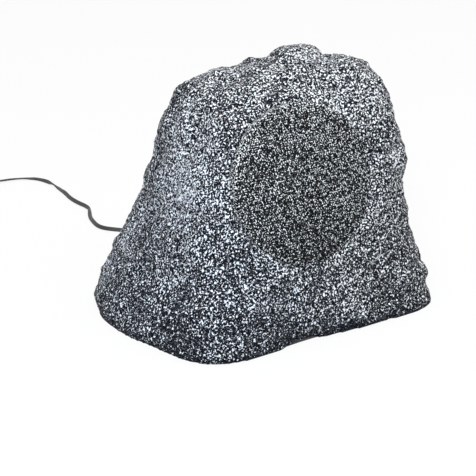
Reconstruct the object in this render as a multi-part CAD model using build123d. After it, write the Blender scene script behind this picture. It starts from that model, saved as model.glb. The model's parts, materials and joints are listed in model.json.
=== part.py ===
from build123d import *
import math
import os

# Stone form. A flat is a plane square to its own direction, and its reach is its distance from the middle
# of the base, which is the origin. The front looks along -Y.
front_reach = 150.0
front_lean = 17.0
front_toe_reach = 141.0
right_reach = 158.0
left_reach = 159.0
left_toe_reach = 177.5
back_reach = 114.0
back_toe_reach = 127.0
front_right_reach = 179.0
front_left_reach = 185.0
top_reach = 292.0
left_slope_reach = 292.0
right_slope_reach = 305.0
front_slope_reach = 285.0
back_slope_reach = 255.0
edge_crispness = 9.0
stone_rings = 22
stone_spokes = 40

# Swellings and hollows of the stone, as heights over the flats
left_foot_swell = 27.0
left_toe_swell = 4.0
front_left_foot_swell = 9.0
front_foot_swell = 5.5
right_foot_swell = 22.5
right_waist = -3.5
left_hollow = -8.0
left_brow = 3.5
left_knob = 9.0
left_shoulder = 10.5
peak_rise = 12.0
right_crown = 4.5
right_shoulder = 9.5
right_knob = 8.5

# Housing wall and the plate that closes its underside
wall = 8.0
foot_wall = 19.0
lip_width = 5.0
cavity_spokes = 12
cavity_elevations = [20, 46, 70]
plate_thickness = 6.0
plate_clearance = 0.4
rib_height = 12.0
rib_thickness = 5.0

# Screws: self-tapping, with few faces, a slack pilot hole and a clearance hole
screw_sides = 8
screw_radius = 1.9
pilot_clearance = 0.1
hole_clearance = 0.4
base_screw_length = 20.0
base_screw_head_radius = 4.2
base_screw_sink = 0.3
base_screw_azimuths = [40, 140, 220, 320]

# Grille pocket and baffle
grille_x = -10.0
grille_height = 166.0
pocket_depth = 18.0
baffle_thickness = 10.0
baffle_rim = 8.0
grille_sheet = 1.0
grille_skirt = 12.0
grille_rise = 6.0
grille_clearance = 0.3
cloth_thickness = 0.6

# Woofer
flange_radius = 82.0
flange_thickness = 3.0
cutout_radius = 72.0
cutout_clearance = 1.0
gasket_thickness = 2.0
gasket_width = 2.5
basket_sheet = 2.0
basket_depth = 38.0
spider_height = 8.0
spider_shelf_radius = 36.0
spider_shelf_width = 10.0
basket_ring_radius = 53.0
window_count = 4
window_width = 44.0
window_foot = 2.0
woofer_screw_count = 4
woofer_screw_length = 13.0
woofer_screw_head_radius = 3.6
woofer_screw_head_height = 2.4
surround_radius = 69.0
cone_radius = 61.0
cone_depth = 25.0
cone_thickness = 1.2
roll_height = 2.9
roll_thickness = 1.0
coil_radius = 12.5
former_thickness = 0.4
winding_thickness = 0.5
winding_length = 10.0
coil_clearance = 0.3
gap_clearance = 0.4
spider_thickness = 0.8
spider_rise = 1.6

# Motor
front_plate_thickness = 6.0
magnet_radius = 45.0
magnet_bore_radius = 24.0
magnet_thickness = 16.0
yoke_radius = 42.0
yoke_thickness = 6.0

# Tweeter on its post through the pole
post_radius = 4.8
post_clearance = 0.2
tweeter_radius = 18.0
tweeter_height = 13.0
tweeter_base = -10.0
dome_radius = 12.5
dome_rise = 5.0
face_thickness = 1.6
face_width = 5.0

# Terminal strip
strip_length = 22.0
strip_width = 6.5
strip_thickness = 1.6

# Crossover
board_length = 80.0
board_width = 56.0
board_thickness = 1.6
board_x = 50.0
board_y = 42.0
inductor_radius = 15.0
inductor_height = 14.0
capacitor_radius = 6.5
capacitor_length = 26.0
resistor_length = 22.0
resistor_width = 9.0

# Lead: flat, with two cores side by side
lead_width = 5.4
lead_thickness = 2.7
core_radius = 0.8
strip_back = 12.0
bend_share = 0.45

# Cable gland
gland_azimuth = 100.0
gland_elevation = 10.0
gland_radius = 6.2
gland_clearance = 0.2
gland_flange_radius = 10.0
gland_flange_thickness = 3.0
gland_inside = 14.0
gland_tail = 22.0
gland_neck_radius = 6.6
gland_tail_radius = 4.2
groove_count = 4
groove_depth = 0.7
seat_depth = 2.0
seat_clearance = 1.0
bore_clearance = 0.1


def direction(azimuth, elevation):
    turn = math.radians(azimuth)
    lift = math.radians(elevation)
    return Vector(math.cos(turn) * math.cos(lift), math.sin(turn) * math.cos(lift), math.sin(lift))


# Azimuth, tilt above the horizon and reach of each flat
stone_flats = [
    (270, 0, front_toe_reach),
    (270, front_lean, front_reach),
    (318, 6, front_right_reach),
    (0, 6, right_reach),
    (180, 0, left_toe_reach),
    (176, 18, left_reach),
    (222, 8, front_left_reach),
    (90, 0, back_toe_reach),
    (90, 14, back_reach),
    (200, 84, top_reach),
    (180, 66, left_slope_reach),
    (350, 58, right_slope_reach),
    (268, 60, front_slope_reach),
    (90, 55, back_slope_reach),
]

# Azimuth, elevation, height and angular spread of each swelling
broad_lumps = [
    (172, 1, left_foot_swell, 24),
    (196, 1, left_toe_swell, 15),
    (222, 2, front_left_foot_swell, 20),
    (290, 1, front_foot_swell, 16),
    (324, 3, right_foot_swell, 19),
    (326, 12, right_waist, 9),
    (150, 34, left_hollow, 22),
]
small_lumps = [
    (146, 30, left_brow, 12),
    (170, 58, left_knob, 12),
    (152, 70, left_shoulder, 9),
    (12, 81, peak_rise, 8),
    (342, 65, right_crown, 8),
    (335, 57, right_shoulder, 11),
    (325, 45, right_knob, 10),
]


def stone_radius(way, lumps):
    total = 0.0
    for azimuth, tilt, reach in stone_flats:
        total += max(0.0, way.dot(direction(azimuth, tilt)) / reach) ** edge_crispness
    radius = total ** (-1 / edge_crispness)
    for azimuth, elevation, height, spread in lumps:
        away = way.get_angle(direction(azimuth, elevation))
        radius += height * math.exp(-((away / spread) ** 2))
    return radius


def ring_points(spokes, elevation, lumps, inset):
    # Points round the stone at one elevation, an inset behind its surface
    points = []
    for spoke in range(spokes):
        way = direction(360 * spoke / spokes, elevation)
        points.append(way * (stone_radius(way, lumps) - inset))
    return points


def smooth_ring(elevation, lumps, inset):
    points = ring_points(stone_spokes, elevation, lumps, inset)
    return Wire([Edge.make_spline(points, periodic=True)])


def stone_form():
    # Smooth rings from the base up to one point at the top
    lumps = broad_lumps + small_lumps
    wires = [smooth_ring(90 * ring / stone_rings, lumps, 0) for ring in range(stone_rings)]
    top = direction(0, 90)
    return Solid.make_loft(wires + [Vertex(*(top * stone_radius(top, lumps)))])


def panel(*corners):
    return Face(Wire.make_polygon(corners, close=True))


def cavity():
    # Flat panels between rings of corners, with the thicker foot at the bottom
    rings = [ring_points(cavity_spokes, 0, broad_lumps, foot_wall)]
    for elevation in cavity_elevations:
        rings.append(ring_points(cavity_spokes, elevation, broad_lumps, wall))
    way = direction(0, 90)
    top = way * (stone_radius(way, broad_lumps) - wall)
    faces = [panel(*rings[0])]
    for spoke in range(cavity_spokes):
        after = (spoke + 1) % cavity_spokes
        for low, high in zip(rings, rings[1:]):
            faces.append(panel(low[spoke], low[after], high[after]))
            faces.append(panel(low[spoke], high[after], high[spoke]))
        faces.append(panel(rings[-1][spoke], rings[-1][after], top))
    return Part(Solid(Shell(faces)).wrapped)


def base_outline(inset):
    return Face(smooth_ring(0, broad_lumps, inset))


def base_screw_spots():
    for azimuth in base_screw_azimuths:
        way = direction(azimuth, 0)
        yield Pos(way * (stone_radius(way, broad_lumps) - (lip_width + foot_wall) / 2))


# Driver frame: its Z points out of the front and starts on the pocket floor, its Y points up the front
front_normal = direction(270, front_lean)
front_y = -(front_reach - grille_height * front_normal.Z) / math.hypot(front_normal.X, front_normal.Y)
front_point = Vector(grille_x, front_y, grille_height)
driver = Plane(origin=front_point - front_normal * pocket_depth, x_dir=(1, 0, 0), z_dir=front_normal)

grille_radius = flange_radius + grille_clearance + grille_sheet
pocket_radius = grille_radius + grille_clearance
screw_circle = (flange_radius + cutout_radius + gasket_width) / 2
flange_top = gasket_thickness + flange_thickness

# Gland frame: its Z points out of the back, its X along the lead's width
gland_point = direction(gland_azimuth, gland_elevation)
gland_point = gland_point * stone_radius(gland_point, broad_lumps)
gland = Plane(origin=gland_point - Vector(0, seat_depth, 0), x_dir=(1, 0, 0), z_dir=(0, 1, 0))
gland_end = gland.origin + Vector(0, gland_flange_thickness + gland_tail, 0)


def rod(radius, bottom, top):
    return Pos(0, 0, bottom) * Cylinder(radius, top - bottom, align=(Align.CENTER, Align.CENTER, Align.MIN))


def standing_box(length, width, height):
    return Box(length, width, height, align=(Align.CENTER, Align.CENTER, Align.MIN))


def prism(radius, bottom, top):
    return Pos(0, 0, bottom) * extrude(RegularPolygon(radius, screw_sides), top - bottom)


def turned(*profile):
    # Profile corners are radius and height
    outline = Polyline(*[(radius, 0, height) for radius, height in profile], close=True)
    return revolve(make_face(outline), Axis.Z)


def tube(inner, outer, bottom, top):
    return turned((inner, bottom), (outer, bottom), (outer, top), (inner, top))


def woofer_screw_spots():
    return PolarLocations(screw_circle, woofer_screw_count, start_angle=45)


def hollow_stone():
    # The stone's skin, its flat-faced inside and the foot ring between them, sewn to one body
    baffle = driver * rod(pocket_radius + baffle_rim, -baffle_thickness, front_reach)
    inside = (cavity() - baffle).faces().sort_by(Axis.Z)
    outside = stone_form().faces().sort_by(Axis.Z)
    foot = outside[0].make_holes([inside[0].outer_wire()])
    return Part(Solid(Shell([foot] + outside[1:] + inside[1:])).wrapped)


def drilled(body, floor, holes):
    # Blind holes sunk into a flat floor, each without the face it has on that floor
    outward = Axis(floor.center(), floor.normal_at())
    faces = [face for face in body.faces() if not face.is_same(floor)]
    mouths = []
    for hole in holes:
        walls = hole.faces().sort_by(outward)
        mouths.append(walls[-1].outer_wire())
        faces += walls[:-1]
    return Part(Solid(Shell(faces + [floor.make_holes(mouths)])).wrapped)


def rock_shell():
    body = hollow_stone() - [
        driver * rod(pocket_radius, 0, front_reach),
        driver * rod(cutout_radius, -2 * baffle_thickness, 0),
        extrude(base_outline(lip_width), plate_thickness),
        gland * rod(gland_flange_radius + seat_clearance, 0, wall),
        gland * rod(gland_radius + gland_clearance, -4 * wall, 0),
    ]
    pilot_radius = screw_radius + pilot_clearance
    pilot = prism(pilot_radius, plate_thickness, base_screw_length + pilot_clearance)
    floor = body.faces().filter_by(Plane.XY).sort_by(Axis.Z)[1]
    body = drilled(body, floor, [spot * pilot for spot in base_screw_spots()])
    pilot = prism(pilot_radius, flange_top - woofer_screw_length - pilot_clearance, 0)
    floor = body.faces().filter_by(driver).sort_by(Axis(driver.origin, front_normal))[-1]
    return drilled(body, floor, [driver * (spot * pilot) for spot in woofer_screw_spots()])


def countersunk(grow, length):
    # A countersunk screw, or the hole for it when it is grown by a clearance
    head = base_screw_head_radius + grow
    shank = screw_radius + grow
    cone = Pos(0, 0, base_screw_sink) * extrude(RegularPolygon(head, screw_sides), head - shank, taper=45)
    return cone + prism(shank, base_screw_sink, length)


def base_plate():
    plate = extrude(base_outline(lip_width + plate_clearance), plate_thickness)
    hole = countersunk(hole_clearance, plate_thickness)
    hole += prism(base_screw_head_radius + hole_clearance, 0, base_screw_sink)
    plate -= [spot * hole for spot in base_screw_spots()]
    for side in (-1, 1):
        spot = Pos(board_x, board_y + side * (board_width / 2 - rib_thickness), plate_thickness)
        plate += spot * standing_box(board_length, rib_thickness, rib_height)
    return plate


def base_screws():
    return [spot * countersunk(0, base_screw_length) for spot in base_screw_spots()]


def cable_gland():
    # A flange outside the wall, and a tapered tail with grooves that let it bend
    profile = [
        (0, -gland_inside),
        (gland_radius, -gland_inside),
        (gland_radius, 0),
        (gland_flange_radius, 0),
        (gland_flange_radius, gland_flange_thickness),
        (gland_neck_radius, gland_flange_thickness),
    ]
    pitch = gland_tail / (groove_count + 1)
    for groove in range(1, groove_count + 1):
        middle = groove * pitch
        radius = gland_neck_radius + (gland_tail_radius - gland_neck_radius) * middle / gland_tail
        low = gland_flange_thickness + middle - pitch / 4
        high = gland_flange_thickness + middle + pitch / 4
        floor = radius - groove_depth
        profile += [(radius, low), (floor, low), (floor, high), (radius, high)]
    profile.append((gland_tail_radius, gland_flange_thickness + gland_tail))
    profile.append((0, gland_flange_thickness + gland_tail))
    body = gland * turned(*profile)
    bore = Rectangle(lead_width + 2 * bore_clearance, lead_thickness + 2 * bore_clearance)
    through = extrude(bore, gland_inside + gland_flange_thickness + gland_tail + 2)
    return body - gland * (Pos(0, 0, -gland_inside - 1) * through)


def grille():
    # A pressed dish: its skirt stands on the pocket floor round the woofer's flange
    inner = grille_radius - grille_sheet
    crown = (grille_radius**2 + grille_rise**2) / (2 * grille_rise)
    middle = grille_skirt + grille_rise - crown
    cap = (Pos(0, 0, middle) * Sphere(crown)) & rod(grille_radius, 0, grille_skirt + grille_rise)
    hollow = (Pos(0, 0, middle) * Sphere(crown - grille_sheet)) & rod(inner, 0, grille_skirt + grille_rise)
    return driver * (cap - hollow)


def grille_cloth():
    # Stretched flat across the inside of the skirt
    inner = grille_radius - grille_sheet
    return driver * rod(inner, grille_skirt - grille_sheet - cloth_thickness, grille_skirt - grille_sheet)


def woofer_gasket():
    return driver * tube(cutout_radius, cutout_radius + gasket_width, 0, gasket_thickness)


def woofer_basket():
    # A cast basket: flange, sloping arms and the thick ring that carries the spider and the motor
    neck = cutout_radius - cutout_clearance
    shelf = spider_height - basket_depth
    cast = turned(
        (flange_radius, gasket_thickness),
        (flange_radius, flange_top),
        (surround_radius, flange_top),
        (surround_radius, -2 * basket_sheet),
        (spider_shelf_radius + spider_shelf_width, shelf),
        (spider_shelf_radius, shelf),
        (spider_shelf_radius, -basket_depth),
        (basket_ring_radius, -basket_depth),
        (neck, -3 * basket_sheet),
        (neck, gasket_thickness),
    )
    low = shelf + window_foot
    high = -3 * basket_sheet - window_foot
    reach = flange_radius - spider_shelf_radius
    window = Pos(0, 0, (low + high) / 2) * Box(reach, window_width, high - low)
    cast -= PolarLocations((flange_radius + spider_shelf_radius) / 2, window_count, start_angle=0) * window
    slot_width = 2 * (screw_radius + hole_clearance)
    slot_length = 2 * (flange_radius - screw_circle)
    slot = Pos(0, 0, gasket_thickness) * standing_box(slot_length, slot_width, flange_thickness)
    shift = flange_radius - screw_circle - screw_radius - hole_clearance
    cast -= PolarLocations(screw_circle + shift, woofer_screw_count, start_angle=45) * slot
    return driver * cast


def woofer_screws():
    tip = flange_top - woofer_screw_length
    screw = prism(screw_radius, tip, flange_top)
    screw += prism(woofer_screw_head_radius, flange_top, flange_top + woofer_screw_head_height)
    return [driver * (spot * screw) for spot in woofer_screw_spots()]


def woofer_surround():
    # A half roll between the cone's edge and the flange
    middle = (cone_radius + surround_radius) / 2
    edge = flange_top - cone_thickness
    top = edge + roll_height + roll_thickness
    outer = ThreePointArc((cone_radius, 0, edge), (middle, 0, top), (surround_radius, 0, edge))
    start = (surround_radius - roll_thickness, 0, edge)
    end = (cone_radius + roll_thickness, 0, edge)
    inner = ThreePointArc(start, (middle, 0, top - roll_thickness), end)
    outline = [outer, Line(outer @ 1, inner @ 0), inner, Line(inner @ 1, outer @ 0)]
    return driver * revolve(make_face(outline), Axis.Z)


coil_outer = coil_radius + former_thickness
neck_height = flange_top - cone_depth
winding_middle = -basket_depth - front_plate_thickness / 2


def woofer_cone():
    return driver * turned(
        (coil_outer, neck_height - cone_thickness),
        (cone_radius, flange_top - cone_thickness),
        (cone_radius, flange_top),
        (coil_outer, neck_height),
    )


def voice_coil_former():
    return driver * tube(coil_radius, coil_outer, winding_middle - winding_length / 2 - 1, neck_height)


def voice_coil_winding():
    half = winding_length / 2
    outer = coil_outer + winding_thickness
    return driver * tube(coil_outer, outer, winding_middle - half, winding_middle + half)


def woofer_spider():
    # It lies on the shelf and rises in a shallow cone to the coil
    low = spider_height - basket_depth
    high = low + spider_thickness
    edge = spider_shelf_radius + spider_shelf_width
    return driver * turned(
        (coil_outer, low + spider_rise),
        (spider_shelf_radius, low),
        (edge, low),
        (edge, high),
        (spider_shelf_radius, high),
        (coil_outer, high + spider_rise),
    )


plate_back = -basket_depth - front_plate_thickness
magnet_back = plate_back - magnet_thickness
yoke_back = magnet_back - yoke_thickness
pole_radius = coil_radius - coil_clearance


def magnet_front_plate():
    bore = coil_outer + winding_thickness + gap_clearance
    return driver * tube(bore, magnet_radius, plate_back, -basket_depth)


def magnet_ring():
    return driver * tube(magnet_bore_radius, magnet_radius, magnet_back, plate_back)


def pole_yoke():
    bore = post_radius + post_clearance
    return driver * turned(
        (bore, yoke_back),
        (yoke_radius, yoke_back),
        (yoke_radius, magnet_back),
        (pole_radius, magnet_back),
        (pole_radius, -basket_depth),
        (bore, -basket_depth),
    )


def terminal_strip():
    spot = Pos(0, strip_width / 2 - basket_ring_radius, -basket_depth - strip_thickness / 2)
    return driver * (spot * Box(strip_length, strip_width, strip_thickness))


def tweeter_housing():
    # A cup with the post that holds it in the pole's bore
    top = tweeter_base + tweeter_height
    return driver * turned(
        (0, yoke_back),
        (post_radius, yoke_back),
        (post_radius, tweeter_base),
        (tweeter_radius, tweeter_base),
        (tweeter_radius, top),
        (0, top),
    )


def tweeter_face():
    top = tweeter_base + tweeter_height
    return driver * tube(tweeter_radius - face_width, tweeter_radius, top, top + face_thickness)


def tweeter_dome():
    top = tweeter_base + tweeter_height
    crown = (dome_radius**2 + dome_rise**2) / (2 * dome_rise)
    cap = (Pos(0, 0, top + dome_rise - crown) * Sphere(crown)) & rod(dome_radius, top, top + dome_rise)
    return driver * cap


board_bottom = plate_thickness + rib_height
board_top = board_bottom + board_thickness


def crossover_board():
    spot = Pos(board_x, board_y, board_bottom)
    return spot * standing_box(board_length, board_width, board_thickness)


def crossover_inductor():
    spot = Pos(board_x + board_length / 4, board_y - board_width / 8, board_top)
    return spot * rod(inductor_radius, 0, inductor_height)


def crossover_capacitor():
    spot = Pos(board_x - board_length / 4, board_y - board_width / 4, board_top + capacitor_radius)
    return spot * Rot(0, 90, 0) * Cylinder(capacitor_radius, capacitor_length)


def crossover_resistor():
    spot = Pos(board_x - board_length / 4, board_y + board_width / 4, board_top)
    return spot * standing_box(resistor_length, resistor_width, resistor_width)


def bend_radii(points):
    radii = []
    for before, here, after in zip(points, points[1:], points[2:]):
        turn = (here - before).get_angle(after - here)
        shorter = min((here - before).length, (after - here).length)
        radii.append(bend_share * shorter / math.tan(math.radians(turn / 2)))
    return radii


def flat_lead(name, points, width_way):
    # A flat lead swept along straight runs and tangent arcs
    points = [Vector(point) for point in points]
    radii = bend_radii(points)
    path = FilletPolyline(*points, radius=radii)
    section = Plane(origin=points[0], x_dir=width_way, z_dir=points[1] - points[0])
    lead = sweep(section * Rectangle(lead_width, lead_thickness), path=path)
    share = lead.volume / (lead_width * lead_thickness * path.length)
    print(name, "length", round(path.length, 1), "volume share", round(share, 4))
    print(name, "bend radii", [round(radius, 1) for radius in radii])
    return lead


# The lead outside: out of the gland, down to the ground and away behind the stone
ground = lead_thickness / 2 + 0.05
cord_points = [
    gland_end,
    gland_end + Vector(0, 20, 0),
    (-22, 177, 11),
    (-30, 199, ground),
    (-45, 215, ground),
    (-66, 229, ground),
    (-82, 247, ground),
    (-81, 278, ground),
    (-72, 312, ground),
    (-67, 348, ground),
    (-66, 384, ground),
    (-68, 418, ground),
    (-77, 446, ground),
    (-101, 460, ground),
    (-124, 462, ground),
    (-147, 471, ground),
    (-168, 484, ground),
]


def speaker_cord():
    return flat_lead("speaker_cord", cord_points, (1, 0, 0))


def stripped_ends():
    last = Vector(cord_points[-1])
    along = (last - Vector(cord_points[-2])).normalized()
    end = Plane(origin=last, x_dir=along.cross(Vector(0, 0, 1)), z_dir=along)
    cores = []
    for side in (-1, 1):
        cores.append(end * (Pos(side * lead_width / 4, 0, 0) * prism(core_radius, 0, strip_back)))
    return cores


def input_lead():
    # Through the gland and on to the board, where its last run lies flat
    inside = gland.origin - Vector(0, gland_inside + 16, 0)
    pad = Vector(board_x - board_length / 2 + 14, board_y, board_top + lead_thickness / 2 + 0.1)
    points = [gland_end, inside, pad + Vector(-24, 6, 0), pad]
    return flat_lead("input_lead", points, (1, 0, 0))


def woofer_lead():
    strip = driver.from_local_coords(Vector(0, strip_width / 2 - basket_ring_radius, 0))
    pad = Vector(board_x - 4, board_y - board_width / 2 + 4, board_top)
    end = strip - front_normal * (basket_depth + strip_thickness)
    points = [pad, pad + Vector(0, 0, 18), pad + Vector(-10, -8, 34), end - front_normal * 16, end]
    return flat_lead("woofer_lead", points, (1, 0, 0))


def tweeter_lead():
    end = driver.origin + front_normal * yoke_back
    pad = Vector(board_x - 16, board_y + board_width / 2 - 6, board_top)
    points = [pad, pad + Vector(0, 0, 30), pad + Vector(-14, -8, 64), end - front_normal * 30, end]
    return flat_lead("tweeter_lead", points, (1, 0, 0))


pieces = [
    rock_shell,
    base_plate,
    base_screws,
    cable_gland,
    grille,
    grille_cloth,
    woofer_gasket,
    woofer_basket,
    woofer_screws,
    woofer_surround,
    woofer_cone,
    voice_coil_former,
    voice_coil_winding,
    woofer_spider,
    magnet_front_plate,
    magnet_ring,
    pole_yoke,
    terminal_strip,
    tweeter_housing,
    tweeter_face,
    tweeter_dome,
    crossover_board,
    crossover_inductor,
    crossover_capacitor,
    crossover_resistor,
    speaker_cord,
    stripped_ends,
    input_lead,
    woofer_lead,
    tweeter_lead,
]

os.makedirs("parts", exist_ok=True)
for piece in pieces:
    shape = piece()
    if isinstance(shape, list):
        shape = Compound(children=shape)
    export_step(shape, f"parts/{piece.__name__}.step")
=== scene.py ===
import bpy
import bmesh
import json
import math
from mathutils import Vector, Matrix


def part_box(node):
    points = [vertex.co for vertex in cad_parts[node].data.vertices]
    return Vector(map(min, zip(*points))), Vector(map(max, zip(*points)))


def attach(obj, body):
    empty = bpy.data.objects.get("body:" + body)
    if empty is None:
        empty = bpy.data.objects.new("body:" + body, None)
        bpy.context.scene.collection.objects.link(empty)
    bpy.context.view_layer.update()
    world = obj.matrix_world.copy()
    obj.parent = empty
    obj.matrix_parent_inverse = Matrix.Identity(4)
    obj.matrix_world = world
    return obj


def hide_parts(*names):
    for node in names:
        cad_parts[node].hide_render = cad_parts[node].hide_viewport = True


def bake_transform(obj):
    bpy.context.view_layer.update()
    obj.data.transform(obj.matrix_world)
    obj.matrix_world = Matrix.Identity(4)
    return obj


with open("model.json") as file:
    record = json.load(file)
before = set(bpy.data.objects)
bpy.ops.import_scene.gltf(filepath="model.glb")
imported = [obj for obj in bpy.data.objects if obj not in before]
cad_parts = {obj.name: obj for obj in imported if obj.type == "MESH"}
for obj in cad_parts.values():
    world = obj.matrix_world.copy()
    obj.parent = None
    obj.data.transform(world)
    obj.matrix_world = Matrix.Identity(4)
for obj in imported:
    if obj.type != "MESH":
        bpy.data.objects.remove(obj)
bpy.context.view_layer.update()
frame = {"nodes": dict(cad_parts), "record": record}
print("frame loaded")


def asObject(name, data):
    made = bpy.data.objects.new(name, data)
    bpy.context.collection.objects.link(made)
    return made


def aim(item, place, target):  # stands at a place and looks at a point
    item.location = place
    item.rotation_euler = (Vector(target) - Vector(place)).to_track_quat("-Z", "Y").to_euler()


# camera at the photograph's angle
shot = {"eye": (-0.73417, -1.12975, 0.66218), "target": (-0.00802, 0.03235, 0.05207),
        "lens": 99.5, "sensor": 36}
cameraData = bpy.data.cameras.new("camera")
cameraData.lens = shot["lens"]
cameraData.sensor_width = shot["sensor"]
camera = asObject("camera", cameraData)
aim(camera, shot["eye"], shot["target"])
bpy.context.scene.camera = camera
print("camera set")


# nodes, for materials and for geometry
def addNode(tree, kind, inputs=None, **settings):
    made = tree.nodes.new(kind)
    for name, value in settings.items():
        setattr(made, name, value)
    for name, value in (inputs or {}).items():
        if isinstance(value, bpy.types.NodeSocket):
            tree.links.new(value, made.inputs[name])
        else:
            made.inputs[name].default_value = value
    return made


def maths(tree, operation, first, second=0.0):
    return addNode(tree, "ShaderNodeMath", {0: first, 1: second}, operation=operation).outputs[0]


def vectorMaths(tree, operation, first, second=(0, 0, 0)):
    made = addNode(tree, "ShaderNodeVectorMath", {0: first, 1: second}, operation=operation)
    return made.outputs["Value" if operation in ("DISTANCE", "DOT_PRODUCT", "LENGTH") else "Vector"]


def scaled(tree, vector, amount):
    return addNode(tree, "ShaderNodeVectorMath", {0: vector, "Scale": amount}, operation="SCALE").outputs[0]


def axis(tree, vector, letter):
    return addNode(tree, "ShaderNodeSeparateXYZ", {0: vector}).outputs[letter]


def spread(tree, value, low, high, toLow=0.0, toHigh=1.0):  # smooth map of one range to another
    ranges = {"Value": value, "From Min": low, "From Max": high, "To Min": toLow, "To Max": toHigh}
    return addNode(tree, "ShaderNodeMapRange", ranges, interpolation_type="SMOOTHSTEP").outputs["Result"]


def stepAt(tree, value, edge, soft):
    return spread(tree, value, edge - soft, edge + soft)


def mottle(tree, tone, low=0.0, high=1.0):  # the busy middle of a noise, spread out
    return spread(tree, tone, 0.3, 0.7, low, high)


def blendColour(tree, factor, first, second):
    return addNode(tree, "ShaderNodeMix", {0: factor, 6: first, 7: second}, data_type="RGBA").outputs[2]


def noise(tree, vector, scale, detail=3.0, rough=0.55, output="Fac"):
    inputs = {"Vector": vector, "Scale": scale, "Detail": detail, "Roughness": rough}
    return addNode(tree, "ShaderNodeTexNoise", inputs).outputs[output]


def startMaterial(name):
    made = bpy.data.materials.new(name)
    made.use_nodes = True
    tree = made.node_tree
    shader = tree.nodes["Principled BSDF"]
    coords = tree.nodes.new("ShaderNodeTexCoord").outputs["Object"]
    return made, tree, shader, coords


def setBump(tree, shader, height, strength, distance):
    bump = addNode(tree, "ShaderNodeBump", {"Height": height, "Strength": strength, "Distance": distance})
    tree.links.new(bump.outputs["Normal"], shader.inputs["Normal"])


def darker(colour, share):
    return [share * value for value in colour[:3]] + [1]


def startTree(name, values):  # a geometry tree with a named input for each value
    kinds = {float: "Float", tuple: "Vector", bpy.types.Material: "Material", bpy.types.Object: "Object"}
    tree = bpy.data.node_groups.new(name, "GeometryNodeTree")
    tree.interface.new_socket(name="Geometry", in_out="INPUT", socket_type="NodeSocketGeometry")
    for label, value in values.items():
        tree.interface.new_socket(name=label, in_out="INPUT", socket_type="NodeSocket" + kinds[type(value)])
    tree.interface.new_socket(name="Geometry", in_out="OUTPUT", socket_type="NodeSocketGeometry")
    return tree, tree.nodes.new("NodeGroupInput").outputs, tree.nodes.new("NodeGroupOutput").inputs[0]


def endTree(tree, geometry, material, result):
    plain = addNode(tree, "GeometryNodeRealizeInstances", {"Geometry": geometry}).outputs[0]
    painted = addNode(tree, "GeometryNodeSetMaterial", {"Geometry": plain, "Material": material}).outputs[0]
    tree.links.new(painted, result)
    return tree


# meshes
def evaluatedMesh(piece):
    bpy.context.view_layer.update()
    graph = bpy.context.evaluated_depsgraph_get()
    return bpy.data.meshes.new_from_object(piece.evaluated_get(graph))


def settle(piece):  # the evaluated result as a plain mesh, with no modifier left
    mesh = evaluatedMesh(piece)
    piece.modifiers.clear()
    piece.data = mesh


def useTree(piece, tree, values):
    modifier = piece.modifiers.new(tree.name, "NODES")
    modifier.node_group = tree
    for item in tree.interface.items_tree:
        if item.in_out == "INPUT" and item.name in values:
            modifier[item.identifier] = values[item.name]
    settle(piece)


def cutAway(piece, tool, solver):
    cutter = piece.modifiers.new("cut", "BOOLEAN")
    cutter.operation = "DIFFERENCE"
    cutter.solver = solver
    cutter.use_self = solver == "EXACT"  # for a tool whose parts cross
    cutter.object = tool
    settle(piece)
    bpy.data.objects.remove(tool)


def soften(mesh, degrees):
    mesh.shade_smooth()
    mesh.set_sharp_from_angle(angle=math.radians(degrees))


def asMesh(made, name):
    mesh = bpy.data.meshes.new(name)
    made.to_mesh(mesh)
    made.free()
    return mesh


def cadMesh(node, weld=1e-5):  # a merged copy of a CAD node's triangles, in the shared frame
    source = frame["nodes"][node]
    made = bmesh.new()
    made.from_mesh(source.data)
    made.transform(source.matrix_world)
    bmesh.ops.remove_doubles(made, verts=made.verts, dist=weld)
    return made


def joinRings(made, rings, closed=False):  # walls from ring to ring, and caps on an open run
    for low, high in zip(rings, rings[1:] + rings[:1] if closed else rings[1:]):
        for step in range(len(low)):
            after = (step + 1) % len(low)
            made.faces.new((low[step], low[after], high[after], high[step]))
    if not closed:
        made.faces.new(list(reversed(rings[0])))
        made.faces.new(rings[-1])


def lathe(points, steps, closed=True):  # profile corners are radius and height
    made = bmesh.new()
    rings = []
    for radius, height in points:
        ring = []
        for step in range(steps):
            turn = 2 * math.pi * step / steps
            ring.append(made.verts.new((radius * math.cos(turn), radius * math.sin(turn), height)))
        rings.append(ring)
    joinRings(made, rings, closed)
    bmesh.ops.recalc_face_normals(made, faces=made.faces)
    return made


def runFrame(points, index):  # directions along, level with and up from one point of a path
    after = points[min(index + 1, len(points) - 1)]
    before = points[max(index - 1, 0)]
    along = (after - before).normalized()
    level = along.cross(Vector((0, 0, 1))).normalized()
    return along, level, level.cross(along)


def turned(level, upright, turn):
    return level * math.cos(turn) + upright * math.sin(turn)


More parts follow.
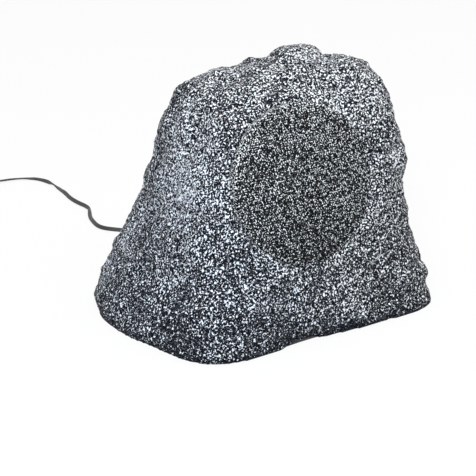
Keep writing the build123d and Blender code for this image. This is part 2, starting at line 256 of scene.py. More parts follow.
# stone finish: white and grey flecks on a blue-black ground, for the housing and the grille, with painted
# light and painted shade where the flecks crowd and in the flecks' tint
granite = {"fineRatio": 1.9, "coarseShare": 0.66, "jitterRatio": 0.8,
           "blotCrowd": 3.0, "rarest": 0.3, "blotEdge": 0.04,
           "gritRatio": 1.3, "gritShift": (0.31, 0.17, 0.53), "gritEdge": 0.05,
           # way and range of a painted cool light tint on the white flecks
           "paintedCoolLightWay": (1.0, 0.0, 0.5), "paintedCoolLightFrom": -0.045, "paintedCoolLightTo": 0.075,
           "darkRough": 0.55, "paleRough": 0.85, "gloss": 0.05, "relief": 0.0016}
stoneLook = {
    "fleckScale": 520.0, "whiteEdge": 0.560, "softness": 0.011, "greyEdge": 0.585,
    "crowding": 0.15, "patchScale": 20.0, "blotScale": 285.0, "blotSize": 0.42, "warp": 0.0028,
    "bump": 0.75, "pits": 1.6, "pitScale": 230.0,
    "ground": (0.002, 0.0024, 0.0045, 1), "grey": (0.10, 0.11, 0.135, 1),
    # white flecks where the painted cool light falls, and on the far side
    "white": (0.88, 0.925, 1.0, 1), "farWhite": (0.925, 0.945, 0.965, 1),
    "paintedFootShade": [(0.13, 0.030), (0.012, 0.060)],  # painted shade darker towards the ground: top, and depth at the ground
    "paintedLightShadeAndTone": [  # middle, radius and lift of painted light and painted shade, partly the stone's own paler and darker places
        ((-0.118, -0.048, 0.156), 0.050, 0.038), ((-0.120, -0.002, 0.153), 0.034, 0.026),
        ((-0.131, -0.084, 0.098), 0.040, 0.018), ((-0.150, -0.022, 0.092), 0.046, -0.026),
        ((-0.172, 0.010, 0.016), 0.045, -0.012), ((-0.111, -0.111, 0.095), 0.028, -0.026),
        ((0.072, -0.128, 0.056), 0.040, 0.012), ((0.075, -0.132, 0.012), 0.045, -0.016),
        ((-0.088, -0.078, 0.200), 0.030, -0.028), ((0.071, -0.120, 0.096), 0.024, -0.026),
        ((0.012, -0.028, 0.266), 0.048, -0.020), ((-0.026, -0.024, 0.261), 0.036, -0.020),
        ((-0.010, -0.122, 0.079), 0.026, -0.026), ((0.045, -0.121, 0.086), 0.030, -0.020),
        ((-0.096, -0.082, 0.176), 0.024, -0.022), ((-0.100, -0.104, 0.124), 0.024, 0.022),
        ((0.105, -0.080, 0.160), 0.034, 0.020), ((-0.030, -0.132, 0.050), 0.040, 0.006),
        ((-0.135, -0.098, 0.064), 0.034, -0.018), ((0.035, -0.137, 0.008), 0.032, -0.026)]}
grilleLook = {
    "fleckScale": 560.0, "whiteEdge": 0.558, "softness": 0.008, "greyEdge": 0.62,
    "crowding": 0.03, "patchScale": 34.0, "blotScale": 440.0, "blotSize": 0.42, "warp": 0.0020,
    "bump": 0.4, "pits": 0.3, "pitScale": 400.0,
    "ground": (0.002, 0.0025, 0.003, 1), "grey": (0.08, 0.08, 0.084, 1),
    # white flecks where the painted cool light falls, and on the far side
    "white": (0.95, 0.98, 1.0, 1), "farWhite": (0.96, 0.985, 1.0, 1),
    # painted shade: the grille darker towards its lower edge
    "paintedFootShade": [(0.25, 0.046)],
    # painted light and painted shade near the grille's edge
    "paintedLightShadeAndTone": [((0.030, -0.118, 0.115), 0.040, 0.012), ((0.052, -0.090, 0.205), 0.030, -0.014),
               ((-0.060, -0.117, 0.117), 0.042, 0.014)]}


def graniteFinish(name, look):
    made, tree, shader, coords = startMaterial(name)
    scale = look["fleckScale"]
    coarse = maths(tree, "MULTIPLY", noise(tree, coords, scale, 1.0, 0.5), granite["coarseShare"])
    fine = noise(tree, coords, scale * granite["fineRatio"], 1.0, 0.5)
    fine = maths(tree, "MULTIPLY", fine, 1 - granite["coarseShare"])
    patch = noise(tree, coords, look["patchScale"])  # flecks crowd in some places
    crowdAndPaintedLight = maths(tree, "MULTIPLY", maths(tree, "SUBTRACT", patch, 0.5), look["crowding"])
    height = axis(tree, coords, "Z")
    for top, depth in look["paintedFootShade"]:  # painted shade: fewer white flecks, darker towards the ground
        crowdAndPaintedLight = maths(tree, "SUBTRACT", crowdAndPaintedLight, spread(tree, height, 0.0, top, depth, 0.0))
    # painted light and painted shade in places, partly the stone's own uneven tone
    for middle, radius, lift in look["paintedLightShadeAndTone"]:
        gap = vectorMaths(tree, "DISTANCE", coords, middle)
        crowdAndPaintedLight = maths(tree, "ADD", crowdAndPaintedLight, spread(tree, gap, 0.0, radius, lift, 0.0))
    # white flecks thin out under the painted shade and crowd under the painted light
    crowded = maths(tree, "ADD", maths(tree, "ADD", coarse, fine), crowdAndPaintedLight)
    fleck = stepAt(tree, crowded, look["whiteEdge"], look["softness"])
    jitter = noise(tree, coords, scale * granite["jitterRatio"], 1.0, output="Color")
    jitter = scaled(tree, vectorMaths(tree, "SUBTRACT", jitter, (0.5, 0.5, 0.5)), look["warp"])
    warped = vectorMaths(tree, "ADD", coords, jitter)
    cells = addNode(tree, "ShaderNodeTexVoronoi", {"Vector": warped, "Scale": look["blotScale"]}).outputs
    chance = addNode(tree, "ShaderNodeSeparateColor", {0: cells["Color"]}).outputs[0]
    # the painted light and shade also crowd and thin the larger blots
    chance = maths(tree, "ADD", chance, maths(tree, "MULTIPLY", crowdAndPaintedLight, granite["blotCrowd"]))
    reach = spread(tree, chance, granite["rarest"], 1.0, 0.0, look["blotSize"])
    outer = maths(tree, "ADD", reach, granite["blotEdge"])
    inner = maths(tree, "SUBTRACT", reach, granite["blotEdge"])
    white = maths(tree, "MAXIMUM", fleck, spread(tree, cells["Distance"], outer, inner))
    shifted = addNode(tree, "ShaderNodeMapping", {
        "Vector": coords, "Location": granite["gritShift"]}).outputs[0]
    grit = noise(tree, shifted, scale * granite["gritRatio"], 2.0, 0.6)
    grey = stepAt(tree, grit, look["greyEdge"], granite["gritEdge"])
    ground = blendColour(tree, grey, look["ground"], look["grey"])
    side = vectorMaths(tree, "DOT_PRODUCT", coords, granite["paintedCoolLightWay"])  # painted light: white flecks bluer on the left and low down, standing in for cool light
    side = spread(tree, side, granite["paintedCoolLightFrom"], granite["paintedCoolLightTo"])
    pale = blendColour(tree, side, look["white"], look["farWhite"])
    tree.links.new(blendColour(tree, white, ground, pale), shader.inputs["Base Color"])
    roughness = spread(tree, white, 0.0, 1.0, granite["darkRough"], granite["paleRough"])
    tree.links.new(roughness, shader.inputs["Roughness"])
    shader.inputs["Specular IOR Level"].default_value = granite["gloss"]
    pits = maths(tree, "MULTIPLY", noise(tree, shifted, look["pitScale"], 4.0, 0.62), look["pits"])
    setBump(tree, shader, maths(tree, "ADD", crowded, pits), look["bump"], granite["relief"])
    return made


stoneFinish = graniteFinish("speckledStone", stoneLook)
grilleFinish = graniteFinish("speckledGrille", grilleLook)
print("stone finishes made")

# driver: the axis that the pocket, the grille and the driver's soft rings share
driver = {"lean": 17.0, "middle": (-0.010, -0.088889, 0.160737), "pocket": 0.0836}
lean = math.radians(driver["lean"])
frontWay = Vector((0, -math.cos(lean), math.sin(lean)))
side = Vector((1, 0, 0))
driverFrame = Matrix((side, frontWay.cross(side), frontWay)).transposed().to_4x4()
driverFrame.translation = Vector(driver["middle"])

# housing: the CAD skin made even, given a stone's swells and chips, and cut by the CAD pocket and hollow
rock = {
    "voxel": 0.0021, "smoothing": 0.5, "smoothSteps": 4, "edgeAngle": 38, "softAngle": 50,
    "skin": {"Swell": 0.0046, "Swell Scale": 21.0, "Chip": 0.0052, "Chip Scale": 46.0, "Grain": 0.0021,
             "Grain Scale": 125.0, "Foot Fade": 0.008, "Foot Round": 0.0006, "Seed": 3.0},
    "footStart": 0.0005, "roll": 0.0028, "rollWidth": 0.011,
    "lipSlope": -0.99, "lipTop": 0.0005, "lowRim": 0.001,
    "runOutLow": 0.02, "runOutBack": 0.03, "runOutFront": 0.04,
    "grooves": [  # start, end, radius and depth, where less than nothing is a swelling
        ((0.060, -0.036, 0.268), (0.095, 0.012, 0.262), 0.018, 0.0095),
        ((0.004, -0.003, 0.270), (0.028, 0.034, 0.262), 0.018, 0.0070),
        ((-0.112, 0.028, 0.178), (-0.094, 0.062, 0.165), 0.026, 0.0045),
        ((-0.094, 0.026, 0.225), (-0.080, 0.052, 0.216), 0.020, 0.0035),
        ((0.113, -0.105, 0.139), (0.138, -0.075, 0.126), 0.018, 0.0035),
        ((0.098, -0.134, 0.000), (0.134, -0.127, 0.000), 0.026, -0.0055),
        ((-0.180, 0.024, 0.000), (-0.176, -0.030, 0.000), 0.026, -0.0025),
        ((-0.042, -0.136, 0.004), (-0.022, -0.136, 0.004), 0.022, 0.0042),
        ((0.136, -0.127, 0.018), (0.157, -0.100, 0.006), 0.016, 0.0060),
        ((0.133, -0.126, 0.036), (0.158, -0.095, 0.026), 0.012, -0.0030),
        ((-0.047, 0.014, 0.257), (-0.030, 0.042, 0.248), 0.016, -0.0040)]}


def splitSkin(shell):  # faces of the stone's outside, found across gentle edges from the topmost one
    limit = math.radians(rock["edgeAngle"])
    start = max(shell.faces, key=lambda face: face.calc_center_median().z)
    found = {start}
    waiting = [start]
    while waiting:
        face = waiting.pop()
        for edge in face.edges:
            if len(edge.link_faces) == 2 and edge.calc_face_angle() < limit:
                for other in edge.link_faces:
                    if other not in found:
                        found.add(other)
                        waiting.append(other)
    return found


def openRims(shell):
    return [edge for edge in shell.edges if edge.is_boundary]


def closeUp(shell, name):
    bmesh.ops.holes_fill(shell, edges=openRims(shell), sides=0)
    bmesh.ops.recalc_face_normals(shell, faces=shell.faces)
    return asMesh(shell, name)


def closedStone():
    shell = cadMesh("rock_shell")
    skin = splitSkin(shell)
    bmesh.ops.delete(shell, geom=[face for face in shell.faces if face not in skin], context="FACES")
    return closeUp(shell, "rockHousing")


def isLip(face):
    return face.normal.z < rock["lipSlope"] and face.calc_center_median().z < rock["lipTop"]


def hollowTool():  # pocket, rebate and inside of the CAD housing, run out past the stone's surface
    shell = cadMesh("rock_shell")
    skin = splitSkin(shell)
    outside = [face for face in shell.faces if face in skin or isLip(face)]
    bmesh.ops.delete(shell, geom=outside, context="FACES")
    made = bmesh.ops.extrude_edge_only(shell, edges=openRims(shell))["geom"]
    for point in [item for item in made if isinstance(item, bmesh.types.BMVert)]:
        if point.co.z < rock["lowRim"]:
            point.co.z -= rock["runOutLow"]
        elif point.co.y > 0:
            point.co.y += rock["runOutBack"]
        else:
            point.co += frontWay * rock["runOutFront"]
    return closeUp(shell, "hollowTool")


def stoneTree(values):
    tree, given, result = startTree("stoneSkin", values)
    place = tree.nodes.new("GeometryNodeInputPosition").outputs[0]
    shift = addNode(tree, "ShaderNodeCombineXYZ", {0: given["Seed"], 1: given["Seed"]}).outputs[0]
    moved = vectorMaths(tree, "ADD", place, shift)
    total = 0.0
    for label, detail in (("Swell", 2.0), ("Chip", 3.0), ("Grain", 2.0)):
        wave = maths(tree, "SUBTRACT", noise(tree, moved, given[label + " Scale"], detail), 0.5)
        wave = maths(tree, "MULTIPLY", maths(tree, "MULTIPLY", wave, 2.0), given[label])
        total = maths(tree, "ADD", total, wave)
    height = axis(tree, place, "Z")
    total = maths(tree, "MULTIPLY", total, spread(tree, height, rock["footStart"], given["Foot Fade"]))
    for start, end, radius, depth in rock["grooves"]:
        run = Vector(end) - Vector(start)
        away = vectorMaths(tree, "SUBTRACT", place, start)
        share = vectorMaths(tree, "DOT_PRODUCT", away, run / run.length_squared)
        share = addNode(tree, "ShaderNodeClamp", {0: share}).outputs[0]
        gap = vectorMaths(tree, "DISTANCE", away, scaled(tree, run, share))
        total = maths(tree, "SUBTRACT", total, spread(tree, gap, 0.0, radius, depth, 0.0))
    away = vectorMaths(tree, "SUBTRACT", place, driver["middle"])  # the pocket's edge rolls in
    reach = vectorMaths(tree, "LENGTH", vectorMaths(tree, "CROSS_PRODUCT", away, frontWay))
    ahead = maths(tree, "GREATER_THAN", vectorMaths(tree, "DOT_PRODUCT", away, frontWay), 0.0)
    rolled = spread(tree, reach, driver["pocket"], driver["pocket"] + rock["rollWidth"], rock["roll"], 0.0)
    total = maths(tree, "SUBTRACT", total, maths(tree, "MULTIPLY", rolled, ahead))
    offset = scaled(tree, tree.nodes.new("GeometryNodeInputNormal").outputs[0], total)
    tuck = spread(tree, height, 0.0, given["Foot Fade"], 1.0, 0.0)  # lower edge drawn in
    tuck = maths(tree, "POWER", tuck, 2.0)
    inward = vectorMaths(tree, "NORMALIZE", vectorMaths(tree, "MULTIPLY", place, (-1, -1, 0)))
    tuck = scaled(tree, inward, maths(tree, "MULTIPLY", tuck, given["Foot Round"]))
    spot = vectorMaths(tree, "ADD", place, vectorMaths(tree, "ADD", offset, tuck))
    spot = vectorMaths(tree, "MAXIMUM", spot, given["Low Corner"])
    spot = vectorMaths(tree, "MINIMUM", spot, given["High Corner"])
    shaped = addNode(tree, "GeometryNodeSetPosition", {
        "Geometry": given["Geometry"], "Position": spot}).outputs[0]
    return endTree(tree, shaped, given["Material"], result)


housing = asObject("rockHousing", closedStone())
evener = housing.modifiers.new("even", "REMESH")
evener.mode = "VOXEL"
evener.voxel_size = rock["voxel"]
smoother = housing.modifiers.new("smooth", "SMOOTH")
smoother.factor = rock["smoothing"]
smoother.iterations = rock["smoothSteps"]
settle(housing)
stoneLow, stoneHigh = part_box("rock_shell")
stoneValues = dict(rock["skin"], Material=stoneFinish)
stoneValues["Low Corner"] = tuple(stoneLow)
stoneValues["High Corner"] = tuple(stoneHigh)
useTree(housing, stoneTree(stoneValues), stoneValues)
tool = asObject("hollowTool", hollowTool())
tool.data.materials.append(stoneFinish)
cutAway(housing, tool, "MANIFOLD")
soften(housing.data, rock["softAngle"])
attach(housing, "enclosure")
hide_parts("rock_shell")
print("housing made", len(housing.data.polygons))

# grille: a domed disc of hexagonal cells round a staggered field of holes, with a turned rim
grille = {"radius": 0.0833, "skirt": 0.012, "rise": 0.006, "sheet": 0.0008, "pitch": 0.0027, "hole": 0.00108,
          "border": 0.0016, "inset": 0.0006, "cellWeld": 2e-5, "sheetWeld": 1e-5,
          "steps": 180, "softAngle": 35,
          "rim": [(0.0, -0.0009), (0.0003, -0.0003), (0.0010, 0.0001), (0.0028, 0.0004), (0.0028, -0.0006)]}


def grilleTree(values):
    tree, given, result = startTree("grilleHoles", values)
    rowShare = math.sqrt(3) / 2
    pitch = given["Pitch"]
    rowPitch = maths(tree, "MULTIPLY", pitch, rowShare)
    count = maths(tree, "CEIL", maths(tree, "DIVIDE", given["Radius"], rowPitch))
    count = maths(tree, "ADD", maths(tree, "MULTIPLY", count, 2.0), 1.0)
    width = maths(tree, "MULTIPLY", maths(tree, "SUBTRACT", count, 1.0), pitch)
    depth = maths(tree, "MULTIPLY", width, rowShare)
    field = addNode(tree, "GeometryNodeMeshGrid", {
        "Size X": width, "Size Y": depth, "Vertices X": count, "Vertices Y": count}).outputs[0]
    place = tree.nodes.new("GeometryNodeInputPosition").outputs[0]
    row = maths(tree, "ROUND", maths(tree, "DIVIDE", axis(tree, place, "Y"), rowPitch))
    odd = maths(tree, "FLOORED_MODULO", row, 2.0)
    stagger = maths(tree, "MULTIPLY", odd, maths(tree, "MULTIPLY", pitch, 0.5))
    offset = addNode(tree, "ShaderNodeCombineXYZ", {0: stagger}).outputs[0]
    staggered = addNode(tree, "GeometryNodeSetPosition", {"Geometry": field, "Offset": offset}).outputs[0]
    edge = maths(tree, "SUBTRACT", given["Radius"], given["Border"])
    outside = maths(tree, "GREATER_THAN", vectorMaths(tree, "LENGTH", place), edge)
    kept = addNode(tree, "GeometryNodeDeleteGeometry", {
        "Geometry": staggered, "Selection": outside}).outputs[0]
    corner = maths(tree, "DIVIDE", pitch, math.sqrt(3))
    cell = addNode(tree, "GeometryNodeMeshCone", {
        "Vertices": 6, "Radius Top": given["Hole"], "Radius Bottom": corner}, fill_type="NONE").outputs[0]
    cells = addNode(tree, "GeometryNodeInstanceOnPoints", {  # each cone pressed flat
        "Points": kept, "Instance": cell, "Rotation": (0, 0, math.pi / 6), "Scale": (1, 1, 0)}).outputs[0]
    cells = addNode(tree, "GeometryNodeRealizeInstances", {"Geometry": cells}).outputs[0]
    sheet = addNode(tree, "GeometryNodeMergeByDistance", {
        "Geometry": cells, "Distance": grille["cellWeld"]}).outputs[0]
    lifted = addNode(tree, "GeometryNodeExtrudeMesh", {
        "Mesh": sheet, "Offset Scale": given["Sheet"], "Individual": False}).outputs["Mesh"]
    under = addNode(tree, "GeometryNodeFlipFaces", {"Mesh": sheet}).outputs[0]
    both = tree.nodes.new("GeometryNodeJoinGeometry")
    tree.links.new(under, both.inputs[0])
    tree.links.new(lifted, both.inputs[0])
    merged = addNode(tree, "GeometryNodeMergeByDistance", {
        "Geometry": both.outputs[0], "Distance": grille["sheetWeld"]}).outputs[0]
    reach = vectorMaths(tree, "LENGTH", vectorMaths(tree, "MULTIPLY", place, (1, 1, 0)))
    share = maths(tree, "POWER", maths(tree, "DIVIDE", reach, given["Radius"]), 2.0)
    dome = maths(tree, "MULTIPLY", maths(tree, "SUBTRACT", 1.0, share), given["Rise"])
    dome = maths(tree, "ADD", dome, maths(tree, "SUBTRACT", given["Skirt"], given["Sheet"]))
    offset = addNode(tree, "ShaderNodeCombineXYZ", {2: dome}).outputs[0]
    domed = addNode(tree, "GeometryNodeSetPosition", {"Geometry": merged, "Offset": offset}).outputs[0]
    return endTree(tree, domed, given["Material"], result)


def rimProfile():
    inner = grille["radius"] - grille["sheet"]
    corners = [(inner, 0), (grille["radius"], 0)]
    for inset, lift in grille["rim"]:
        corners.append((grille["radius"] - inset, grille["skirt"] + lift))
    return corners + [(inner, grille["skirt"] - 2 * grille["sheet"])]


grilleSheet = asObject("grilleSheet", bpy.data.meshes.new("grilleSheet"))
grilleValues = {"Radius": grille["radius"] - grille["inset"], "Pitch": grille["pitch"],
                "Hole": grille["hole"], "Border": grille["border"], "Skirt": grille["skirt"],
                "Rise": grille["rise"], "Sheet": grille["sheet"], "Material": grilleFinish}
useTree(grilleSheet, grilleTree(grilleValues), grilleValues)
rim = lathe(rimProfile(), grille["steps"])
rim.from_mesh(grilleSheet.data)
rim.transform(driverFrame)
rim.to_mesh(grilleSheet.data)
rim.free()
grilleSheet.data.materials.clear()
grilleSheet.data.materials.append(grilleFinish)
soften(grilleSheet.data, grille["softAngle"])
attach(grilleSheet, "enclosure")
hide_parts("grille")
print("grille made", len(grilleSheet.data.polygons))

# lead: two joined cores that turn over as they lie on the ground
lead = {"width": 0.0054, "thick": 0.0023, "length": 0.4414, "sides": 9, "sweep": 236, "landing": 0.0016,
        "clearance": 0.00005, "straight": 0.020, "resolution": 10, "softAngle": 60,
        "turns": [0, 0, 4, 10, 25, 45, 55, 40, -15, -46, 35, 60, 55, 40, 0, -44, 35, 15, -20, -30, -10, 0]}
glandLow, glandHigh = [Vector(corner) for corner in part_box("cable_gland")]
leadExit = Vector(((glandLow.x + glandHigh.x) / 2, glandHigh.y, (glandLow.z + glandHigh.z) / 2))
route = [leadExit, leadExit + Vector((0, lead["straight"], 0)), (-0.022, 0.177, 0.011), (-0.030, 0.199, 0),
         (-0.045, 0.213, 0), (-0.064, 0.228, 0), (-0.0790, 0.2450, 0), (-0.0785, 0.2640, 0),
         (-0.0735, 0.2860, 0), (-0.0650, 0.3030, 0), (-0.0622, 0.3160, 0), (-0.0668, 0.3320, 0),
         (-0.0690, 0.3530, 0), (-0.0662, 0.3760, 0), (-0.0658, 0.3950, 0), (-0.0668, 0.4120, 0),
         (-0.0705, 0.4310, 0), (-0.0800, 0.4480, 0), (-0.101, 0.4590, 0), (-0.124, 0.4620, 0),
         (-0.147, 0.471, 0), (-0.168, 0.484, 0)]
coreMiddle = (lead["width"] - lead["thick"]) / 2


def leadTurn(station):  # turn of the flat section, eased from each route point to the next
    low = min(int(station), len(lead["turns"]) - 2)
    share = station - low
    share = share * share * (3 - 2 * share)
    return math.radians(lead["turns"][low] * (1 - share) + lead["turns"][low + 1] * share)


def leadHeight(turn):  # the middle's height where the turned lead touches the ground
    return abs(math.sin(turn)) * coreMiddle + lead["thick"] / 2 + lead["clearance"]


def routePoints():
    curve = bpy.data.curves.new("leadRoute", "CURVE")
    curve.dimensions = "3D"
    curve.resolution_u = lead["resolution"]
    spline = curve.splines.new("NURBS")
    spline.points.add(len(route) - 1)
    for point, place, turn in zip(spline.points, route, lead["turns"]):
        place = Vector(place)
        if place.z == 0:
            place.z = leadHeight(math.radians(turn))
        point.co = (*place, 1)
    spline.order_u = 3
    spline.use_endpoint_u = True
    holder = asObject("leadRoute", curve)
    points = [vertex.co.copy() for vertex in evaluatedMesh(holder).vertices]
    bpy.data.objects.remove(holder)
    stations = (len(route) - 1) / (len(points) - 1)
    for index, point in enumerate(points):  # never under the ground, with a soft landing
        floorLevel = leadHeight(leadTurn(index * stations))
        ease = max(lead["landing"] - abs(point.z - floorLevel), 0)
        point.z = max(point.z, floorLevel) + ease * ease / (4 * lead["landing"])
    return points


def leadOutline():  # two round cores side by side, with a shallow groove between them
    radius = lead["thick"] / 2
    outline = []
    for centre, facing in ((coreMiddle, 0), (-coreMiddle, 180)):
        for step in range(lead["sides"]):
            turn = math.radians(facing - lead["sweep"] / 2 + lead["sweep"] * step / (lead["sides"] - 1))
            outline.append((centre + radius * math.cos(turn), radius * math.sin(turn)))
    return outline


def leadMesh(path):
    outline = leadOutline()
    made = bmesh.new()
    rings = []
    for index, place in enumerate(path):
        along, level, upright = runFrame(path, index)
        across = turned(level, upright, leadTurn((len(route) - 1) * index / (len(path) - 1)))
        over = across.cross(along)
        rings.append([made.verts.new(place + across * x + over * y) for x, y in outline])
    joinRings(made, rings)
    bmesh.ops.recalc_face_normals(made, faces=made.faces)
    return asMesh(made, "speakerLead")


def leadFinish():
    made, tree, shader, coords = startMaterial("leadJacket")
    tone = noise(tree, coords, 60.0)
    colour = blendColour(tree, mottle(tree, tone), (0.022, 0.023, 0.022, 1), (0.038, 0.039, 0.037, 1))
    tree.links.new(colour, shader.inputs["Base Color"])
    tree.links.new(mottle(tree, tone, 0.38, 0.52), shader.inputs["Roughness"])
    setBump(tree, shader, noise(tree, coords, 900.0, 2.0), strength=0.15, distance=0.0003)
    return made


jacketFinish = leadFinish()
leadPath = routePoints()
speakerLead = asObject("speakerLead", leadMesh(leadPath))
speakerLead.data.materials.append(jacketFinish)
soften(speakerLead.data, lead["softAngle"])
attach(speakerLead, "enclosure")
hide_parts("speaker_cord")
print("lead made", len(leadPath))

# inner finishes: metals, moulded and pressed parts, cloths and windings
bandLength = 0.314  # one band of a wave texture at scale 1


def metalFinish(name, colour, rough, worn, scale):
    made, tree, shader, coords = startMaterial(name)
    tone = noise(tree, coords, scale, 4.0)
    shown = blendColour(tree, mottle(tree, tone), colour, darker(colour, worn))
    tree.links.new(shown, shader.inputs["Base Color"])
    tree.links.new(mottle(tree, tone, rough, rough + 0.18), shader.inputs["Roughness"])
    shader.inputs["Metallic"].default_value = 1.0
    setBump(tree, shader, noise(tree, coords, scale * 6, 2.0), strength=0.12, distance=0.0002)
    return made


def grainFinish(name, colour, rough, scale, bump, contrast=0.7):  # moulded, pressed and sintered parts
    made, tree, shader, coords = startMaterial(name)
    tone = mottle(tree, noise(tree, coords, scale * 0.12, 4.0))
    grain = noise(tree, coords, scale, 2.0)
    tree.links.new(blendColour(tree, tone, colour, darker(colour, contrast)), shader.inputs["Base Color"])
    tree.links.new(mottle(tree, grain, rough - 0.08, rough + 0.08), shader.inputs["Roughness"])
    setBump(tree, shader, grain, strength=bump, distance=0.0004)
    return made


def weaveFinish(name, colour, pitch):  # threads over and under, across the driver's face
    made, tree, shader, coords = startMaterial(name)
    facing = (-math.pi / 2 - lean, 0, 0)
    flat = addNode(tree, "ShaderNodeMapping", {"Vector": coords, "Rotation": facing}).outputs[0]
    inputs = {"Vector": flat, "Scale": bandLength / pitch,
              "Distortion": 0.6, "Detail": 1.0, "Detail Scale": 4.0}
    waves = []
    for way in ("X", "Y"):
        waves.append(addNode(tree, "ShaderNodeTexWave", inputs, bands_direction=way).outputs["Fac"])
    thread = maths(tree, "MAXIMUM", waves[0], waves[1])
    tree.links.new(blendColour(tree, thread, darker(colour, 0.35), colour), shader.inputs["Base Color"])
    shader.inputs["Roughness"].default_value = 0.9
    setBump(tree, shader, thread, strength=0.5, distance=0.0003)
    return made


def windingFinish(name, colour, pitch):  # turns of enamelled wire
    made, tree, shader, coords = startMaterial(name)
    inputs = {"Vector": coords, "Scale": bandLength / pitch, "Distortion": 0.3}
    turns = addNode(tree, "ShaderNodeTexWave", inputs, bands_direction="Z").outputs["Fac"]
    tree.links.new(blendColour(tree, turns, darker(colour, 0.45), colour), shader.inputs["Base Color"])
    shader.inputs["Metallic"].default_value = 0.85
    shader.inputs["Roughness"].default_value = 0.34
    setBump(tree, shader, turns, strength=0.6, distance=0.0003)
    return made


finishes = {
    "black_cloth": weaveFinish("blackCloth", (0.012, 0.012, 0.013, 1), 0.0011),
    "black_plastic": grainFinish("blackPlastic", (0.035, 0.035, 0.038, 1), 0.55, 700, 0.25),
    "black_rubber": grainFinish("blackRubber", (0.022, 0.022, 0.023, 1), 0.68, 500, 0.2),
    "foam": grainFinish("foamStrip", (0.05, 0.05, 0.052, 1), 0.92, 900, 0.6),
    "screw_steel": metalFinish("screwSteel", (0.62, 0.62, 0.63, 1), 0.28, 0.75, 180),
    "motor_steel": metalFinish("motorSteel", (0.66, 0.64, 0.56, 1), 0.32, 0.8, 90),
    "ferrite": grainFinish("ferrite", (0.055, 0.055, 0.058, 1), 0.6, 420, 0.3),
    "cone_paper": grainFinish("conePaper", (0.03, 0.03, 0.032, 1), 0.88, 380, 0.5),
    "former_aluminium": metalFinish("formerFoil", (0.78, 0.78, 0.79, 1), 0.25, 0.85, 120),
    "copper_winding": windingFinish("copperWinding", (0.72, 0.33, 0.16, 1), 0.0006),
    "spider_cloth": weaveFinish("spiderCloth", (0.62, 0.45, 0.16, 1), 0.0009),
    "silk": grainFinish("silkDome", (0.03, 0.03, 0.034, 1), 0.45, 650, 0.3),
    "board_laminate": grainFinish("boardLaminate", (0.23, 0.15, 0.07, 1), 0.5, 260, 0.15),
    "capacitor_sleeve": grainFinish("capacitorSleeve", (0.05, 0.06, 0.12, 1), 0.3, 150, 0.05),
    "resistor_ceramic": grainFinish("resistorCeramic", (0.72, 0.70, 0.64, 1), 0.75, 500, 0.3, 0.9),
    "lead_jacket": jacketFinish,
    "tinned_copper": metalFinish("tinnedCopper", (0.74, 0.71, 0.66, 1), 0.3, 0.8, 300),
}
for entry in frame["record"]["subparts"]:
    for socket in frame["nodes"][entry["node"]].material_slots:
        socket.material = finishes.get(entry["material_slot"], stoneFinish)
print("inner finishes set")

# stripped ends: tinned strands twisted together
strands = {"length": 0.012, "core": 0.00078, "wire": 0.00026, "pitch": 0.010, "tuckedIn": 0.0004,
           "around": 6, "steps": 18, "sides": 6, "softAngle": 50}


def tubeAlong(made, points, radius, sides):
    rings = []
    for index, place in enumerate(points):
        along, level, upright = runFrame(points, index)
        turns = [2 * math.pi * step / sides for step in range(sides)]
        rings.append([made.verts.new(place + turned(level, upright, turn) * radius) for turn in turns])
    joinRings(made, rings)


def strandMesh():
    made = bmesh.new()
    along, level, upright = runFrame(leadPath, len(leadPath) - 1)
    for hand in (-1, 1):
        middle = leadPath[-1] + level * hand * coreMiddle
        for wire in range(strands["around"] + 1):  # the last one runs straight, in the middle
            reach = 0 if wire == strands["around"] else strands["core"] - strands["wire"]
            points = []
            for step in range(strands["steps"] + 1):
                run = strands["length"] * step / strands["steps"]
                turn = 2 * math.pi * (wire / strands["around"] + run / strands["pitch"])
                out = turned(level, upright, turn) * reach
                points.append(middle + along * (run - strands["tuckedIn"]) + out)
            tubeAlong(made, points, strands["wire"], strands["sides"])
    bmesh.ops.recalc_face_normals(made, faces=made.faces)
    return asMesh(made, "strippedStrands")


strippedStrands = asObject("strippedStrands", strandMesh())
strippedStrands.data.materials.append(finishes["tinned_copper"])
soften(strippedStrands.data, strands["softAngle"])
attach(strippedStrands, "enclosure")
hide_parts("stripped_ends")
print("stripped ends made")

# surround and spider: soft rings turned about the driver's axis, their inner edges at the cone, their outer
# edges on the basket
roll = {"inner": 0.0610, "outer": 0.0690, "edge": 0.0038, "rise": 0.0039, "thick": 0.0010,
        "held": 0.0008, "steps": 20}
spider = {"inner": 0.0129, "shelf": 0.0360, "edge": 0.0460, "low": -0.0300, "rise": 0.0016, "thick": 0.0008,
          "waves": 5, "wave": 0.0011, "held": 0.001, "steps": 60}
ringMesh = {"around": 96, "softAngle": 60}


def rollProfile():
    middle = (roll["inner"] + roll["outer"]) / 2
    half = (roll["outer"] - roll["inner"]) / 2
    outside = []
    inside = []
    for step in range(roll["steps"] + 1):
        turn = math.pi * step / roll["steps"]
        for side, trim in ((outside, 0), (inside, roll["thick"])):
            radius = middle - (half - trim) * math.cos(turn)
            side.append((radius, roll["edge"] + (roll["rise"] - trim) * math.sin(turn)))
    return outside + list(reversed(inside))


def spiderProfile():
    upper = []
    for step in range(spider["steps"] + 1):
        share = step / spider["steps"]
        radius = spider["inner"] + share * (spider["shelf"] - spider["inner"])
        fade = math.sin(math.pi * share) ** 0.5
        wave = spider["wave"] * (1 - math.cos(2 * math.pi * spider["waves"] * share)) / 2 * fade
        upper.append((radius, spider["low"] + spider["thick"] + spider["rise"] * (1 - share) + wave))
    upper.append((spider["edge"], spider["low"] + spider["thick"]))
    return upper + [(radius, height - spider["thick"]) for radius, height in reversed(upper)]


def softRing(name, profile, node, slotName):
    made = lathe(profile, ringMesh["around"])
    made.transform(driverFrame)
    piece = asObject(name, asMesh(made, name))
    piece.data.materials.append(finishes[slotName])
    soften(piece.data, ringMesh["softAngle"])
    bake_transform(piece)
    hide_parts(node)


